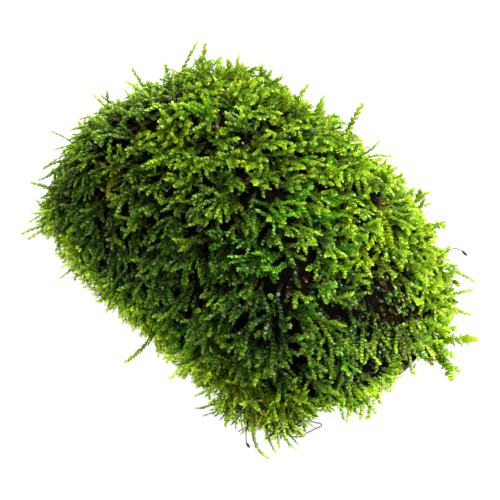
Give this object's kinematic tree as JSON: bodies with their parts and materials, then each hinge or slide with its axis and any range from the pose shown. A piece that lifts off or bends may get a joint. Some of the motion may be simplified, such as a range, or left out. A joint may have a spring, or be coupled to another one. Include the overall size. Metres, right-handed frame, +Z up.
{
  "type": "java moss on coconut shell",
  "caption": "Half coconut shell lying hollow side down as an aquarium cave, its whole outside grown over with a shaggy mat of java moss.",
  "frame": {"origin": "on the ground, under the middle of the whole thing with its moss", "axes": "+X along the shell's length towards the end where the sawn rim shows under the moss, +Y across it, +Z up from the ground"},
  "size_m": [0.155, 0.108, 0.0743],
  "materials": {
    "coconut_shell": "satin",
    "java_moss": "matte"
  },
  "bodies": {
    "root": {"coconut_shell": "coconut_shell", "moss_mat": "java_moss"}
  },
  "joints": []
}
